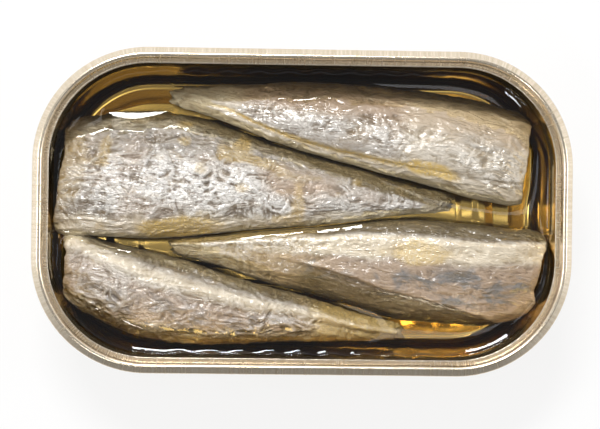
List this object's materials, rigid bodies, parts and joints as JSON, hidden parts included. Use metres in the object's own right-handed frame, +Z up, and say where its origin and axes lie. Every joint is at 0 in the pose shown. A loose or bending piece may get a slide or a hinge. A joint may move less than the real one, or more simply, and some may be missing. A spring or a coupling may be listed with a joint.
{
  "type": "opened sardine tin",
  "caption": "Opened shallow fish tin with rounded corners, a rolled rim and a gold inside, holding headed sardines packed head to tail in clear oil.",
  "frame": {"origin": "middle of the face that the tin stands on", "axes": "+X along the tin's length, +Y across it, +Z up"},
  "size_m": [0.1086, 0.0654, 0.024],
  "materials": {
    "tin": "drawn aluminium with a gold lacquer inside",
    "rim": "rolled aluminium, pale champagne, finely streaked across the roll",
    "oil": "clear pale gold vegetable oil",
    "sardine": "oily cooked fish, silver skin going grey-brown and cream"
  },
  "bodies": {
    "root": {"tin_body": "tin", "seam_ring": "rim", "oil": "oil", "sardine_back": "sardine", "sardine_middle_left": "sardine", "sardine_middle_right": "sardine", "sardine_front": "sardine"}
  },
  "joints": []
}
